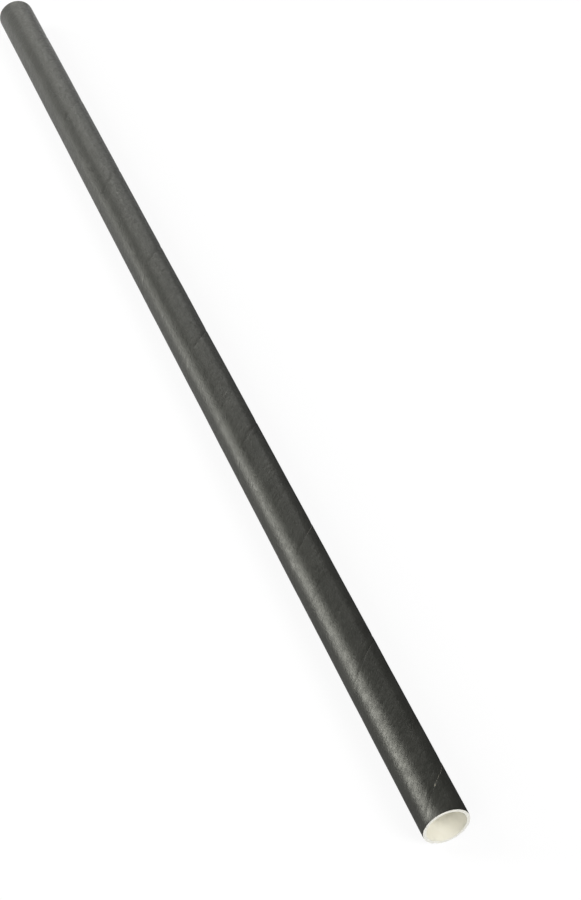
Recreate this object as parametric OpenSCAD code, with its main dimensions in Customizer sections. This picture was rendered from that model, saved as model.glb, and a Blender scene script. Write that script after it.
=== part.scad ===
// Paper drinking straw, wound in a spiral from paper strips and cut square at both ends.
// It lies along X on the plane Z = 0, with the middle of its underside at the origin.

/* [Straw] */
// Outside diameter of the straw
outer_d = 6.35; // [4:0.05:12]
// Length of the straw from one cut end to the other
straw_l = 197; // [80:1:300]
// How far the underside is pressed flat where the straw lies on it
rest_flat = 0.03; // [0.02:0.005:0.05]

/* [Paper] */
// Thickness of the outer ply, which is printed black
outer_ply_t = 0.17; // [0.1:0.01:0.3]
// Thickness of the glued white plies inside it, taken together
inner_plies_t = 0.28; // [0.14:0.01:0.6]

/* [Seam] */
// Distance along the straw from one turn of the seam to the next
seam_pitch = 22.2; // [14:0.2:40]
// Width of the seam where the two edges of the outer strip meet, measured along the straw
seam_w = 0.2; // [0.1:0.02:0.4]
// Depth of the seam below the outside of the straw
seam_depth = 0.05; // [0.03:0.01:0.08]
// Angle around the straw at which the seam crosses its middle, zero on the +Y side
seam_angle = 359; // [0:1:359]

/* [Hidden] */
$fn = 96;
outer_r = outer_d / 2;
ply_r = outer_r - outer_ply_t;
bore_r = ply_r - inner_plies_t;
// Height of the straw's axis above the plane that it lies on
axis_z = outer_r - rest_flat;
// A cut that leaves the material runs past it by this much
overshoot = 1;
// The seam is one helical sweep in steps of this angle, half a turn or more past both cut ends
seam_step = 15;
seam_turns = straw_l / seam_pitch + 1;
seam_first = floor((seam_angle - 180 * seam_turns) / seam_step);
seam_last = ceil((seam_angle + 180 * seam_turns) / seam_step);
seam_steps = seam_last - seam_first;
// Radii of the sweep at its steps, between which its sides run straight
seam_floor_r = (outer_r - seam_depth) / cos(seam_step / 2);
seam_top_r = (outer_r + seam_depth) / cos(seam_step / 2);

// Round bar along X, centred on the straw's axis and on its length
module along_x(r, l) {
    translate([0, 0, axis_z])
        rotate([0, 90, 0])
            cylinder(r = r, h = l, center = true);
}

// Tube along X of the straw's length
module tube_along_x(r_out, r_in) {
    difference() {
        along_x(r_out, straw_l);
        along_x(r_in, straw_l + 2 * overshoot);
    }
}

// Block under the plane that the straw lies on
module under_the_straw() {
    translate([-straw_l / 2 - overshoot, -outer_d, -outer_d])
        cube([straw_l + 2 * overshoot, 2 * outer_d, outer_d]);
}

// Angle of the seam about the straw's axis at step i, and its place along X
function seam_theta(i) = seam_step * (seam_first + i);
function seam_x(i) = seam_pitch * (seam_theta(i) - seam_angle) / 360;

// Point at radius r and angle a about the straw's axis
function on_straw(x, r, a) = [x, r * cos(a), axis_z + r * sin(a)];

// The four corners of the seam's section at step i
function seam_corners(i) = [
    for (corner = [[-1, seam_floor_r], [1, seam_floor_r], [1, seam_top_r], [-1, seam_top_r]])
        on_straw(seam_x(i) + corner[0] * seam_w / 2, corner[1], seam_theta(i))
];

// Two triangles that join side k of the section at step i to the next section
function seam_side(i, k) = let (
    a = 4 * i + k,
    b = 4 * i + (k + 1) % 4
) [[b, a, a + 4], [b, a + 4, b + 4]];

// Right-handed helical groove between the edges of the outer strip
module seam() {
    points = [for (i = [0 : seam_steps]) each seam_corners(i)];
    sides = [for (i = [0 : seam_steps - 1], k = [0 : 3]) each seam_side(i, k)];
    last = 4 * seam_steps;
    ends = [[0, 1, 2, 3], [last + 3, last + 2, last + 1, last]];
    polyhedron(points = points, faces = concat(sides, ends));
}

// Strip of black-printed paper, wound edge to edge around the white plies
module outer_ply() {
    color([0.17, 0.17, 0.16])
        difference() {
            tube_along_x(outer_r, ply_r);
            seam();
            under_the_straw();
        }
}

// White plies, wound and glued into one stiff tube that holds the bore
module inner_plies() {
    color([0.95, 0.93, 0.88])
        tube_along_x(ply_r, bore_r);
}

outer_ply();
inner_plies();
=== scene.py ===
import math

import bmesh
import bpy
from mathutils import Matrix, Vector, noise


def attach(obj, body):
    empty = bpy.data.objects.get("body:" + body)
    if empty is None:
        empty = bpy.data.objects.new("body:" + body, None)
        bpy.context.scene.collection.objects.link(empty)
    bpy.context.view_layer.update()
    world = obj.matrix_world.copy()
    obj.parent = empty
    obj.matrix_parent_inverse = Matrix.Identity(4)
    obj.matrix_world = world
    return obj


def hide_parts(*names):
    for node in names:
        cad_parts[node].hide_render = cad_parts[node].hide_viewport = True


MM = 0.001

# The straw's sizes in millimetres, as in the part's source
STRAW_LENGTH = 197.0
HALF_LENGTH = STRAW_LENGTH / 2
OUTER_RADIUS = 3.175
PLY_RADIUS = 3.005
BORE_RADIUS = 2.725
AXIS_HEIGHT = 3.145
SEAM_PITCH = 22.2
SEAM_ANGLE = 359.0

# Angle between the strips' own length, which the paper's fibres follow, and a ring round the straw
WINDING_ANGLE = math.atan(SEAM_PITCH / (2 * math.pi * OUTER_RADIUS))

# The two white strips meet at this radius, and a film of glue parts each strip from the next
MIDDLE_RADIUS = 2.865
GLUE = 0.004

# Where the white strips' own seams lie, as shares of a turn after the black strip's seam
MIDDLE_SEAM = 0.60
LINER_SEAM = 0.27

# The gap between a strip's two edges and how far they fray, in millimetres along X, and the steps
# round it in degrees
BLACK_EDGES = {"gap": 0.03, "fray": 0.01, "step": 2.5}
WHITE_EDGES = {"gap": 0.08, "fray": 0.02, "step": 3.0}
FRAY_PER_DEGREE, FRAY_WAVES = 0.055, 6.0

# Where the black strip's seam gapes and its white core shows: x, angle, reach in millimetres and how much
BARE_PLACES = (
    (94.25, 88.0, 0.32, 1.0),
    (92.7, 62.0, 3.6, 0.62),
    (47.3, 45.0, 2.6, 0.6),
    (72.2, 88.0, 1.2, 0.4),
)
# Half the width of a full gape, as a multiple of the gap
GAPE_GAPS = 3.0

# Unevenness of the cut ends: depth and waves per millimetre, and where its noise is taken along X
CUT_ROUGH, CUT_ROUGH_WAVES = 0.035, 1.1
CUT_FIBRES, CUT_FIBRES_WAVES = 0.025, 4.0
CUT_NOISE_X = 40
# Notch in the underside of the open end: depth, angle and reach in degrees
NOTCH_DEPTH, NOTCH_ANGLE, NOTCH_REACH = 0.14, 243, 4

# The black strip's surface lies this far inside the solid and has waves of height, waves per mm and seed
SKIN_INSET = 0.012
SKIN_WAVES = ((0.020, 0.15, 3), (0.006, 0.4, 9))
# Depth and reach in millimetres of what sinks in it: its low edge, the seam under it and its cut ends
LOW_EDGE = (0.012, 0.05)
SEAM_BELOW = (0.011, 0.3)
CUT_EDGE_DROP = (0.030, 0.16)
# The dip of its high edge at the seam: depth and reach at the front end, and their change to the far end
DIP_DEPTH, DIP_DEPTH_LOST = 0.054, 0.010
DIP_REACH, DIP_REACH_GAINED = 0.48, 0.37
# Share of the dip that is pressed out at the front end, how far that reaches, and the share that is
# lost where the seam gapes
DIP_PRESSED, DIP_PRESSED_REACH = 0.5, 3.5
DIP_LOST_IN_GAPE = 0.72

# The liner's waves in the bore, and the curl of its edges into the straw: depth and reach
LINER_WAVES = (0.004, 0.3, 12)
LINER_CURL = (0.012, 0.25)

# Points across the black strip: up to here in millimetres from its low edge, in steps of this
SEAM_BELOW_X = MIDDLE_SEAM * SEAM_PITCH
BLACK_STOPS = (
    (0.1, 0.05),
    (0.4, 0.15),
    (1.2, 0.4),
    (SEAM_BELOW_X - 0.6, 2.0),
    (SEAM_BELOW_X + 0.6, 0.15),
    (SEAM_PITCH - 1.4, 2.0),
    (SEAM_PITCH, 0.12),
)
# Points across the plain sides and the liner's curled one, as shares of the strip's width
PLAIN_SHARES = (0, 0.5, 1)
CURLED_SHARES = (0.0, 0.01, 0.03, 0.12, 0.35, 0.65, 0.88, 0.97, 0.99, 1.0)

# A strip narrower than this many millimetres ends, and edges sharper than this angle are crisp
NARROWEST = 0.03
CRISP_ANGLE = 38

# Kinds of face on a strip, in the order of its finishes
TOP, UNDERSIDE, SEAM_EDGE, CUT_EDGE = range(4)

# The camera that was fitted to the photo, with its place in millimetres
CAMERA_AT = (231.801, -71.208, 209.236)
CAMERA_RIGHT = (0.35630, 0.93437, 0.0)
CAMERA_BACK = (0.67677, -0.25807, 0.68948)
CAMERA_LENS = 82.33

# Light of the surroundings on the straw, where 1 is plain white
WORLD_FILL = 0.03

# Where the lamps aim along X, in millimetres
NEAR, MIDDLE, FAR = 70, 0, -70
# Soft lamps: low ones behind the left side, weak ones at the back, broad ones before the open end.
# Name, aim, azimuth and elevation, distance in metres, width in degrees and radiance.
LAMPS = (
    ("key_low", NEAR, -126, 14, 1.5, 22, 7.6),
    ("key_high", NEAR, -125, 37, 0.45, 24, 6.25),
    ("key_side", NEAR, -118, 14, 0.45, 22, 4.1),
    ("left", MIDDLE, -60, 18, 1.5, 30, 1.4),
    ("back_high", FAR, 177, 36, 0.36, 30, 2.75),
    ("back_low", FAR, -165, 12, 0.5, 22, 2.0),
    ("back_right", FAR, 149, 24, 0.8, 30, 1.8),
    ("front_right", NEAR, 30, 38, 1.5, 30, 10.8),
    ("front_left", NEAR, -45, 30, 1.5, 30, 3.7),
)

# The floor reaches this far in metres, just under the straw
FLOOR_REACH = 2.0
FLOOR_Z = -1e-5


def wobble(x, theta, scale, seed):
    """Smooth noise on the straw's surface, the same after each full turn. scale is in waves per mm."""
    a = math.radians(theta)
    p = Vector((x, OUTER_RADIUS * math.cos(a), OUTER_RADIUS * math.sin(a)))
    return noise.noise(p * scale + Vector((seed, seed * 1.7, seed * 0.3)))


def bump(distance, width):
    """A smooth hump of height 1, where distance is zero."""
    return math.exp(-((distance / width) ** 2))


def cut_end(side, theta, seed):
    """How far along X a strip's cut end lies at this angle. Paper fibres leave it a little uneven."""
    x = side * CUT_NOISE_X
    rough = 0.5 + 0.5 * wobble(x, theta, CUT_ROUGH_WAVES, seed)
    fibres = 0.5 + 0.5 * wobble(x, theta, CUT_FIBRES_WAVES, seed + 5)
    notch = NOTCH_DEPTH * bump((theta % 360) - NOTCH_ANGLE, NOTCH_REACH) if side > 0 else 0.0
    return side * (HALF_LENGTH - CUT_ROUGH * rough - CUT_FIBRES * fibres - notch)


def seam_place(theta, share):
    """Where a strip's seam crosses this angle, along X."""
    return SEAM_PITCH * ((theta - SEAM_ANGLE) / 360 + share)


def strip_place(x, theta, r):
    """Place on the unwound strip: across it, along it and through it, in metres."""
    arc = math.radians(theta) * OUTER_RADIUS
    c, s = math.cos(WINDING_ANGLE), math.sin(WINDING_ANGLE)
    return ((x * c - arc * s) * MM, (x * s + arc * c) * MM, r * MM)


def opening(x, theta):
    """How far the black strip's seam gapes here, from 0 to 1."""
    widest = 0.0
    for place_x, angle, reach, share in BARE_PLACES:
        arc = math.radians((theta - angle + 180) % 360 - 180) * OUTER_RADIUS
        widest = max(widest, share * bump(math.hypot(x - place_x, arc), reach))
    return widest


def edge_gap(x, theta, gap, fray, seed):
    """Half the gap between a strip's edges where it crosses this angle, in millimetres along X."""
    rough = 0.5 + 0.5 * wobble(theta * FRAY_PER_DEGREE, 0, FRAY_WAVES, seed)
    return 0.5 * gap + fray * rough + GAPE_GAPS * gap * opening(x, theta) ** 3


def black_surface(x, theta, low, high):
    """Radius of the black strip: it sinks at its seam and its cut ends, and faintly over the seam below.

    The seam's dip is crisper near the front end and softer towards the far end."""
    r = OUTER_RADIUS - SKIN_INSET
    for height, waves, seed in SKIN_WAVES:
        r += height * wobble(x, theta, waves, seed)
    softness = 0.5 - x / STRAW_LENGTH
    pressed = DIP_PRESSED * bump(HALF_LENGTH - x, DIP_PRESSED_REACH)
    shallower = max(pressed, DIP_LOST_IN_GAPE * opening(x, theta))
    dip = (DIP_DEPTH - DIP_DEPTH_LOST * softness) * (1 - shallower)
    for distance, (depth, reach) in (
        (x - low, LOW_EDGE),
        (high - x, (dip, DIP_REACH + DIP_REACH_GAINED * softness)),
        (x - low - SEAM_BELOW_X, SEAM_BELOW),
        (HALF_LENGTH - abs(x), CUT_EDGE_DROP),
    ):
        r -= depth * bump(distance, reach)
    return r


def liner_under(x, theta, low, high):
    """Radius of the bore, where the liner's edges curl a little into the straw."""
    height, waves, seed = LINER_WAVES
    depth, reach = LINER_CURL
    curl = bump(x - low, reach) + bump(high - x, reach)
    return BORE_RADIUS + height * wobble(x, theta, waves, seed) - depth * curl


def even(radius):
    """A surface of one radius all over."""
    return lambda x, theta, low, high: radius


def strip_column(theta, share, surfaces, across, gap, fray, seed):
    """Loop of (x, theta, radius) round the strip's section at this angle, or None where it is too narrow.

    It goes over the top from the low edge to the high edge, and back underneath. The two flags
    after it say whether its low edge and its high edge lie on the straw's cut ends."""
    low = seam_place(theta, share)
    high = low + SEAM_PITCH
    low += edge_gap(low, theta, gap, fray, seed)
    high -= edge_gap(high, theta, gap, fray, seed + 3)
    a = max(low, cut_end(-1, theta, seed))
    b = min(high, cut_end(1, theta, seed))
    if b - a < NARROWEST:
        return None
    ring = []
    for surface, shares in zip(surfaces, (across[0], reversed(across[1]))):
        for t in shares:
            x = a + (b - a) * t
            ring.append((x, theta, surface(x, theta, low, high)))
    return ring, a > low, b < high


def wound_strip(name, share, surfaces, across, finishes, seed, gap, fray, step):
    """Solid paper strip, wound once along the whole straw and cut off at both ends.

    surfaces and across are those of its top and its underside. finishes are the materials of
    the top, the underside, the seam's edges and the cut ends."""
    half_turns = 180 * (STRAW_LENGTH / SEAM_PITCH + 1)
    first = SEAM_ANGLE - share * 360 - half_turns - 180
    count = int((2 * half_turns + 360) / step)
    columns = []
    for i in range(count + 1):
        column = strip_column(first + i * step, share, surfaces, across, gap, fray, seed)
        if column:
            columns.append(column)
    verts, on_strip, faces, kinds = [], [], [], []
    for ring, _, _ in columns:
        for x, theta, r in ring:
            angle = math.radians(theta)
            z = max(AXIS_HEIGHT + r * math.sin(angle), 0.0)
            verts.append((x * MM, r * math.cos(angle) * MM, z * MM))
            on_strip.append(strip_place(x, theta, r))
    tops = len(across[0])
    n = tops + len(across[1])
    for i, (_, cut_low, cut_high) in enumerate(columns[:-1]):
        for j in range(n):
            k = (j + 1) % n
            faces.append((i * n + j, i * n + k, (i + 1) * n + k, (i + 1) * n + j))
            if j == tops - 1:
                kinds.append(CUT_EDGE if cut_high else SEAM_EDGE)
            elif j == n - 1:
                kinds.append(CUT_EDGE if cut_low else SEAM_EDGE)
            else:
                kinds.append(TOP if j < tops else UNDERSIDE)
    last = (len(columns) - 1) * n
    faces.append(tuple(range(n)))
    faces.append(tuple(range(last + n - 1, last - 1, -1)))
    kinds += [CUT_EDGE, CUT_EDGE]
    return finish_mesh(name, verts, on_strip, faces, kinds, finishes)


def finish_mesh(name, verts, on_strip, faces, kinds, finishes):
    """Object from the points and faces, with outward normals, smooth sides and crisp paper edges.

    Each point also keeps its place on the unwound strip, for the paper's grain."""
    mesh = bpy.data.meshes.new(name)
    mesh.from_pydata(verts, [], faces)
    for finish in finishes:
        mesh.materials.append(finish)
    mesh.polygons.foreach_set("material_index", kinds)
    bm = bmesh.new()
    bm.from_mesh(mesh)
    bmesh.ops.recalc_face_normals(bm, faces=bm.faces)
    bm.to_mesh(mesh)
    bm.free()
    places = mesh.attributes.new("on_strip", "FLOAT_VECTOR", "POINT")
    places.data.foreach_set("vector", [c for place in on_strip for c in place])
    mesh.shade_smooth()
    mesh.set_sharp_from_angle(angle=math.radians(CRISP_ANGLE))
    obj = bpy.data.objects.new(name, mesh)
    bpy.context.scene.collection.objects.link(obj)
    return obj


def spread(stops):
    """Shares across the strip from pairs of (up to here in mm, in steps of this)."""
    places, x = [0.0], 0.0
    for end, step in stops:
        n = max(1, round((end - x) / step))
        places += [x + (end - x) * (k + 1) / n for k in range(n)]
        x = end
    return [p / places[-1] for p in places]


def colour(red, green, blue):
    return (red, green, blue, 1)


def grey(value):
    return (value, value, value, 1)


class Nodes:
    """Short calls to build a material's node tree."""

    def __init__(self, name):
        self.material = bpy.data.materials.new(name)
        self.material.use_nodes = True
        self.tree = self.material.node_tree
        self.shader = self.tree.nodes["Principled BSDF"]

    def put(self, value, socket):
        """Links the value if it is another node's socket, or else sets it."""
        if isinstance(value, bpy.types.NodeSocket):
            self.tree.links.new(value, socket)
        else:
            socket.default_value = value

    def add(self, kind, inputs=None, **settings):
        node = self.tree.nodes.new(kind)
        for key, value in settings.items():
            setattr(node, key, value)
        for key, value in (inputs or {}).items():
            self.put(value, node.inputs[key])
        return node

    def calc(self, operation, *values):
        made = self.add("ShaderNodeMath", dict(enumerate(values)), operation=operation)
        return made.outputs[0]

    def measure(self, operation, *places):
        made = self.add("ShaderNodeVectorMath", dict(enumerate(places)), operation=operation)
        return made.outputs["Value"]

    def place(self):
        return self.add("ShaderNodeTexCoord").outputs["Object"]

    def place_on_strip(self):
        return self.add("ShaderNodeAttribute", attribute_name="on_strip").outputs["Vector"]

    def noise(self, place, scale, detail=4.0, rough=0.5, stretch=None):
        """Noise with this many waves per millimetre. stretch gives a factor for each axis."""
        if stretch:
            moved = self.add("ShaderNodeMapping", {"Vector": place, "Scale": stretch})
            place = moved.outputs["Vector"]
        made = self.add(
            "ShaderNodeTexNoise",
            {"Vector": place, "Scale": scale / MM, "Detail": detail, "Roughness": rough},
        )
        return made.outputs["Fac"]

    def between(self, value, low, high, to_low, to_high):
        made = self.add(
            "ShaderNodeMapRange",
            {"Value": value, "From Min": low, "From Max": high, "To Min": to_low, "To Max": to_high},
        )
        return made.outputs["Result"]

    def mix(self, share, one, other):
        made = self.add("ShaderNodeMix", data_type="RGBA")
        for value, socket in ((share, made.inputs[0]), (one, made.inputs[6]), (other, made.inputs[7])):
            self.put(value, socket)
        return made.outputs[2]

    def relief(self, height, depth_mm):
        made = self.add("ShaderNodeBump", {"Height": height, "Distance": depth_mm * MM, "Strength": 1.0})
        return made.outputs["Normal"]

    def link(self, value, name):
        self.tree.links.new(value, self.shader.inputs[name])

    def set(self, **values):
        for name, value in values.items():
            self.shader.inputs[name.replace("_", " ")].default_value = value


def black_print():
    """Satin black ink on smooth paper, with fibres and a mottle along the strip, and clouds in the ink."""
    ink, thin_ink = colour(0.0185, 0.0190, 0.0162), colour(0.0280, 0.0284, 0.0246)
    fibre = colour(0.055, 0.055, 0.048)
    glossy, matt = 0.30, 0.48
    mottle_share, relief_mm = 2.0, 0.027
    n = Nodes("black_print")
    place = n.place_on_strip()
    clouds = n.noise(place, 0.35, 3.0, 0.5, (1.0, 0.5, 1.0))
    fibres = n.noise(place, 4.0, 5.0, 0.62, (1.0, 0.4, 1.0))
    mottle = n.noise(place, 1.9, 4.0, 0.65, (1.0, 0.5, 1.0))
    near_black = n.mix(n.between(clouds, 0.3, 0.7, 0.0, 1.0), ink, thin_ink)
    n.link(n.mix(n.between(fibres, 0.62, 0.78, 0.0, 0.35), near_black, fibre), "Base Color")
    n.link(n.between(mottle, 0.35, 0.65, glossy, matt), "Roughness")
    height = n.calc("MULTIPLY_ADD", mottle, mottle_share, fibres)
    n.link(n.relief(height, relief_mm), "Normal")
    n.set(Specular_IOR_Level=0.5, Specular_Tint=colour(1.0, 1.0, 0.88))
    return n.material


def white_paper():
    """Uncoated off-white paper with a soft fibre relief."""
    shaded, light = colour(0.84, 0.815, 0.705), colour(0.89, 0.87, 0.775)
    relief_mm = 0.01
    n = Nodes("white_paper")
    place = n.place_on_strip()
    clouds = n.noise(place, 0.5, 4.0, 0.5, (1.0, 0.5, 1.0))
    fibres = n.noise(place, 4.5, 5.0, 0.6, (1.0, 0.4, 1.0))
    n.link(n.mix(n.between(clouds, 0.3, 0.7, 0.0, 1.0), shaded, light), "Base Color")
    n.link(n.relief(fibres, relief_mm), "Normal")
    n.set(Roughness=0.85, Specular_IOR_Level=0.25)
    return n.material


def cut_paper():
    """Cut edge of white paper, rougher than its faces."""
    shaded, light = colour(0.76, 0.75, 0.68), colour(0.90, 0.89, 0.83)
    relief_mm = 0.02
    n = Nodes("cut_paper")
    fibres = n.noise(n.place(), 6.0, 5.0, 0.65)
    n.link(n.mix(n.between(fibres, 0.35, 0.7, 0.0, 1.0), shaded, light), "Base Color")
    n.link(n.relief(fibres, relief_mm), "Normal")
    n.set(Roughness=0.9, Specular_IOR_Level=0.2)
    return n.material


def on_surface(x, theta):
    """Point on the outside of the straw, in metres."""
    a = math.radians(theta)
    return (x * MM, OUTER_RADIUS * math.cos(a) * MM, (AXIS_HEIGHT + OUTER_RADIUS * math.sin(a)) * MM)


def slit_edge():
    """Slit edge of the black strip: near black, as painted shade of the seam's narrow crevice, with its
    white core showing only in a few rubbed places.
    """
    # The near-black tone is painted shade: it darkens the seam's crevice where its shadow falls.
    near_black, core = colour(0.014, 0.014, 0.013), colour(0.86, 0.84, 0.78)
    patch_share, full_share_of_reach = 0.35, 0.6
    n = Nodes("slit_edge")
    place = n.place()
    bare = n.between(n.noise(place, 0.9, 4.0, 0.6), 0.55, 0.75, 0.0, patch_share)
    for x, theta, reach, share in BARE_PLACES:
        away = n.measure("DISTANCE", place, on_surface(x, theta))
        here = n.between(away, full_share_of_reach * reach * MM, reach * MM, share, 0.0)
        bare = n.calc("MAXIMUM", bare, here)
    n.link(n.mix(bare, near_black, core), "Base Color")
    n.set(Roughness=0.85, Specular_IOR_Level=0.2)
    return n.material


def build_straw():
    """The black strip and the two white strips under it, each wound along the whole straw."""
    black, white, cut, slit = black_print(), white_paper(), cut_paper(), slit_edge()
    outer = wound_strip(
        "outer_strip",
        share=0.0,
        surfaces=(black_surface, even(PLY_RADIUS)),
        across=(spread(BLACK_STOPS), PLAIN_SHARES),
        finishes=(black, white, slit, cut),
        seed=1,
        **BLACK_EDGES,
    )
    middle = wound_strip(
        "middle_strip",
        share=MIDDLE_SEAM,
        surfaces=(even(PLY_RADIUS - GLUE), even(MIDDLE_RADIUS)),
        across=(PLAIN_SHARES, PLAIN_SHARES),
        finishes=(white, white, cut, cut),
        seed=21,
        **WHITE_EDGES,
    )
    liner = wound_strip(
        "liner_strip",
        share=LINER_SEAM,
        surfaces=(even(MIDDLE_RADIUS - GLUE), liner_under),
        across=(PLAIN_SHARES, CURLED_SHARES),
        finishes=(white, white, cut, cut),
        seed=41,
        **WHITE_EDGES,
    )
    for obj, node, slot in (
        (outer, "outer_ply", "black_paper"),
        (middle, "inner_plies", "white_paper"),
        (liner, "inner_plies", "white_paper"),
    ):
        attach(obj, "root")
        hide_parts(node)


def floor_finish():
    """Pale ground that the camera sees as white, with a light shadow that fades out away from the straw.

    To other rays it falls off towards the camera, and more so on the side where the photo's second
    straw would lie: that straw isn't built, but this one's near right edge is dark with its reflection."""
    # The greys that other rays see are painted shade: darker towards the camera, and near black where a
    # second straw and its shadow would lie.
    back, front, beside, seen_colour = grey(0.74), grey(0.20), grey(0.03), grey(0.92)
    n = Nodes("pale_ground")
    place = n.add("ShaderNodeSeparateXYZ", {0: n.place()})
    towards = n.between(place.outputs["X"], -0.10, 0.10, 0.0, 1.0)
    along = n.between(place.outputs["X"], -0.11, 0.02, 0.0, 1.0)
    aside = n.between(place.outputs["Y"], -0.002, 0.008, 0.0, 0.9)
    neighbour = n.calc("MULTIPLY", along, aside)
    graded = n.mix(neighbour, n.mix(towards, back, front), beside)
    path = n.add("ShaderNodeLightPath")
    to_camera, glossy = path.outputs["Is Camera Ray"], path.outputs["Is Glossy Ray"]
    through = path.outputs["Is Transmission Ray"]
    n.link(n.mix(to_camera, graded, seen_colour), "Base Color")
    n.set(Roughness=0.9, Specular_IOR_Level=0.0)
    # Share of plain white light in what the camera sees of the ground, and in what the straw mirrors of it
    whitened = n.between(n.measure("LENGTH", n.place()), 0.15, 0.5, 0.88, 1.0)
    mirrored = n.between(neighbour, 0.0, 0.9, 0.1, 0.0)
    seen = n.calc("MULTIPLY", to_camera, whitened)
    shown = n.calc("MULTIPLY", n.calc("MAXIMUM", glossy, through), mirrored)
    white = n.add("ShaderNodeEmission", {"Color": grey(1), "Strength": 1.0})
    mixed = n.add(
        "ShaderNodeMixShader",
        {0: n.calc("MAXIMUM", seen, shown), 1: n.shader.outputs["BSDF"], 2: white.outputs["Emission"]},
    )
    n.put(mixed.outputs["Shader"], n.tree.nodes["Material Output"].inputs["Surface"])
    return n.material


def build_floor():
    mesh = bpy.data.meshes.new("floor")
    corners = ((-1, -1), (1, -1), (1, 1), (-1, 1))
    mesh.from_pydata([(x * FLOOR_REACH, y * FLOOR_REACH, FLOOR_Z) for x, y in corners], [], [(0, 1, 2, 3)])
    mesh.materials.append(floor_finish())
    floor = bpy.data.objects.new("floor", mesh)
    bpy.context.scene.collection.objects.link(floor)


def soft_lamp(name, aim_x, azimuth, elevation, distance, spread_deg, strength):
    """Square soft lamp in this direction from the straw's point at aim_x. Azimuth 0 is +X and 90 is +Y.

    spread_deg is its width as seen from there, and strength its radiance."""
    a, e = math.radians(azimuth), math.radians(elevation)
    away = Vector((math.cos(a) * math.cos(e), math.sin(a) * math.cos(e), math.sin(e)))
    data = bpy.data.lights.new(name, "AREA")
    data.shape = "SQUARE"
    data.size = 2 * distance * math.tan(math.radians(spread_deg / 2))
    data.energy = strength * math.pi * data.size**2
    lamp = bpy.data.objects.new(name, data)
    lamp.location = Vector((aim_x, 0, AXIS_HEIGHT)) * MM + away * distance
    lamp.rotation_euler = away.to_track_quat("Z", "Y").to_euler()
    bpy.context.scene.collection.objects.link(lamp)


def build_world():
    """White surroundings: plain white to the camera, and only a weak fill on the straw."""
    world = bpy.data.worlds.new("surroundings")
    world.use_nodes = True
    tree = world.node_tree
    ground = tree.nodes["Background"]
    ground.inputs["Color"].default_value = grey(1)
    path = tree.nodes.new("ShaderNodeLightPath")
    strength = tree.nodes.new("ShaderNodeMapRange")
    strength.inputs["To Min"].default_value = WORLD_FILL
    tree.links.new(path.outputs["Is Camera Ray"], strength.inputs["Value"])
    tree.links.new(strength.outputs["Result"], ground.inputs["Strength"])
    bpy.context.scene.world = world


def build_light():
    build_world()
    for lamp in LAMPS:
        soft_lamp(*lamp)


def build_camera():
    data = bpy.data.cameras.new("camera")
    data.lens = CAMERA_LENS
    data.clip_start, data.clip_end = 0.01, 20
    cam = bpy.data.objects.new("camera", data)
    right, back = Vector(CAMERA_RIGHT).normalized(), Vector(CAMERA_BACK).normalized()
    up = back.cross(right).normalized()
    turn = Matrix((right, up, back)).transposed()
    cam.matrix_world = Matrix.Translation(Vector(CAMERA_AT) * MM) @ turn.to_4x4()
    bpy.context.scene.collection.objects.link(cam)
    bpy.context.scene.camera = cam


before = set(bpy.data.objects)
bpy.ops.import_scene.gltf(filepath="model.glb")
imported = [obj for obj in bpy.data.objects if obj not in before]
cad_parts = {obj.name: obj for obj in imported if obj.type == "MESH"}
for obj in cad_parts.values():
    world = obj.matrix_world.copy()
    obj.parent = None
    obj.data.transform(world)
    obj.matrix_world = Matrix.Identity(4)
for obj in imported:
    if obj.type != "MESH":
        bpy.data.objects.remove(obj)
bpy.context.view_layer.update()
bpy.context.scene.view_settings.view_transform = "Standard"
build_camera()
build_straw()
build_floor()
build_light()
